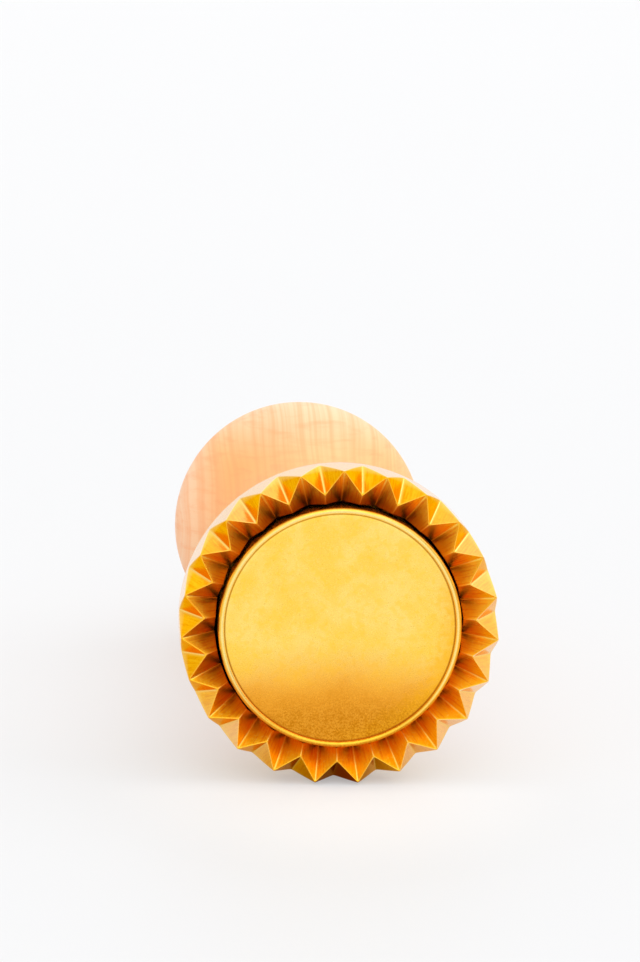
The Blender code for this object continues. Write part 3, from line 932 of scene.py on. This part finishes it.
def make_handle(material):
    bore = [(BORE_RADIUS + BORE_CHAMFER, HANDLE_FRONT), (BORE_RADIUS, HANDLE_FRONT + BORE_CHAMFER),
            (BORE_RADIUS, BORE_BOTTOM), (0.0, BORE_BOTTOM)]
    handle = lathe("beech_handle", handle_outline() + bore, HANDLE_SEGMENTS, material)
    cut_holes(handle, [(SHANK_HOLE_RADIUS, HANDLE_FRONT - OVERSHOOT), (SHANK_HOLE_RADIUS, PILOT_DEPTH)])
    return smooth(handle, 50)


# ---- Spring -----------------------------------------------------------------------------------------

def along_axis(node):
    """The first and last place of a CAD node along the stamp's axis, in millimetres."""
    back = STAMP.inverted()
    places = [(back @ corner.co).z / MM for corner in frame["nodes"][node].data.vertices]
    return min(places), max(places)


def wire_place(turn, first, last):
    """How far along the axis the wire is after this many turns: close end turns and open ones between."""
    if turn < 1:
        return first + END_PITCH * turn
    if turn > 1 + ACTIVE_TURNS:
        return last - END_PITCH * (ACTIVE_TURNS + 2 - turn)
    pitch = (last - first - 2 * END_PITCH) / ACTIVE_TURNS
    return first + END_PITCH + pitch * (turn - 1)


def make_spring(first, last, material):
    """The compression spring, with its wire's middle from first to last along the axis."""
    bm = bmesh.new()
    loops = []
    up = Vector((0.0, 0.0, 1.0))
    for i in range((ACTIVE_TURNS + 2) * COIL_STEPS + 1):
        turn = i / COIL_STEPS
        out = Vector((math.cos(math.tau * turn), math.sin(math.tau * turn), 0.0))
        middle = out * COIL_RADIUS + up * wire_place(turn, first, last)
        loop = []
        for angle in even_angles(WIRE_SIDES):
            side = out * math.cos(angle) + up * math.sin(angle)
            loop.append(bm.verts.new(middle + side * WIRE_RADIUS * WIRE_SHARE))
        loops.append(loop)
    bridge_all(bm, loops)
    close_ends(bm, loops)
    spring = make_piece("return_spring_wire", bm, material)
    spring.data.shade_smooth()
    return spring


# ---- Studio -----------------------------------------------------------------------------------------

def make_floor():
    bm = bmesh.new()
    bmesh.ops.create_grid(bm, x_segments=1, y_segments=1, size=FLOOR_SIZE)
    make_object("floor", bm, lit_acrylic())


def towards(azimuth, elevation):
    """The direction with this azimuth (0 in front, 90 on the right) and elevation, in degrees."""
    azimuth = math.radians(azimuth)
    elevation = math.radians(elevation)
    flat = math.cos(elevation)
    return Vector((flat * math.sin(azimuth), -flat * math.cos(azimuth), math.sin(elevation)))


def add_lamps():
    """A broad soft lamp on the right and a weaker one in front."""
    for name, azimuth, elevation, spread, power in LAMPS:
        lamp = bpy.data.lights.new(name, "SUN")
        lamp.energy = power
        lamp.angle = math.radians(spread)
        holder = bpy.data.objects.new(name, lamp)
        bpy.context.scene.collection.objects.link(holder)
        holder.rotation_euler = towards(azimuth, elevation).to_track_quat("Z", "Y").to_euler()


def light_studio():
    """A white tent: an even glow with brighter and darker round fields in it."""
    world = bpy.data.worlds.new("studio")
    bpy.context.scene.world = world
    world.use_nodes = True
    nodes = world.node_tree.nodes
    links = world.node_tree.links
    glow = nodes.new("ShaderNodeValue").outputs[0]
    glow.default_value = TENT_GLOW
    direction = nodes.new("ShaderNodeTexCoord").outputs["Generated"]
    for azimuth, elevation, core, reach, gain in TENT_FIELDS:
        near = nodes.new("ShaderNodeVectorMath")
        near.operation = "DOT_PRODUCT"
        near.inputs[1].default_value = towards(azimuth, elevation)
        links.new(direction, near.inputs[0])
        field = nodes.new("ShaderNodeMapRange")
        field.interpolation_type = "SMOOTHSTEP"
        field.inputs["From Min"].default_value = math.cos(math.radians(reach))
        field.inputs["From Max"].default_value = math.cos(math.radians(core))
        field.inputs["To Max"].default_value = gain
        links.new(near.outputs["Value"], field.inputs["Value"])
        total = nodes.new("ShaderNodeMath")
        links.new(glow, total.inputs[0])
        links.new(field.outputs["Result"], total.inputs[1])
        glow = total.outputs[0]
    links.new(glow, nodes["Background"].inputs["Strength"])
    nodes["Background"].inputs["Color"].default_value = (1.0, 1.0, 1.0, 1.0)


def make_camera():
    lens = bpy.data.cameras.new("camera")
    lens.lens = LENS
    lens.sensor_width = SENSOR
    lens.sensor_fit = "AUTO"
    lens.clip_start, lens.clip_end = CLIP
    camera = bpy.data.objects.new("camera", lens)
    bpy.context.scene.collection.objects.link(camera)
    camera.location = CAMERA_PLACE
    camera.rotation_euler = [math.radians(angle) for angle in CAMERA_TURN]
    bpy.context.scene.camera = camera


# ---- Assembly ---------------------------------------------------------------------------------------

def put(piece, body, node):
    """Lets a piece ride on its body, in place of this CAD node."""
    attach(piece, body)
    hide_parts(node)


def fit_spring():
    """The return spring, where the imported model has it, riding on the stamp's body."""
    front, back = along_axis("return_spring")
    wire = plated_steel("spring_wire", (0.50, 0.49, 0.48), 0.22)
    spring = make_spring(front + WIRE_RADIUS, back - WIRE_RADIUS, wire)
    put(spring, "stamp", "return_spring")
    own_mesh(spring)


def finish_inner_pieces():
    """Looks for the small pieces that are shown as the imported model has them."""
    steel = plated_steel("zinc_steel", (0.72, 0.71, 0.68), 0.28)
    finishes = {"guide_bush": moulded("acetal", (0.85, 0.84, 0.80), 0.42),
                "bump_washer": moulded("rubber", (0.03, 0.03, 0.032), 0.62)}
    for name, node in frame["nodes"].items():
        if not node.hide_render:
            node.material_slots[0].material = finishes.get(name, steel)


def build():
    bpy.context.scene.view_settings.view_transform = "Standard"
    light_studio()
    add_lamps()
    make_floor()
    make_camera()
    put(make_die(die_brass()), "stamp", "fluted_die")
    put(make_plate(plate_brass()), "ejector", "ejector_plate")
    put(make_handle(beech()), "stamp", "handle")
    fit_spring()
    finish_inner_pieces()


build()
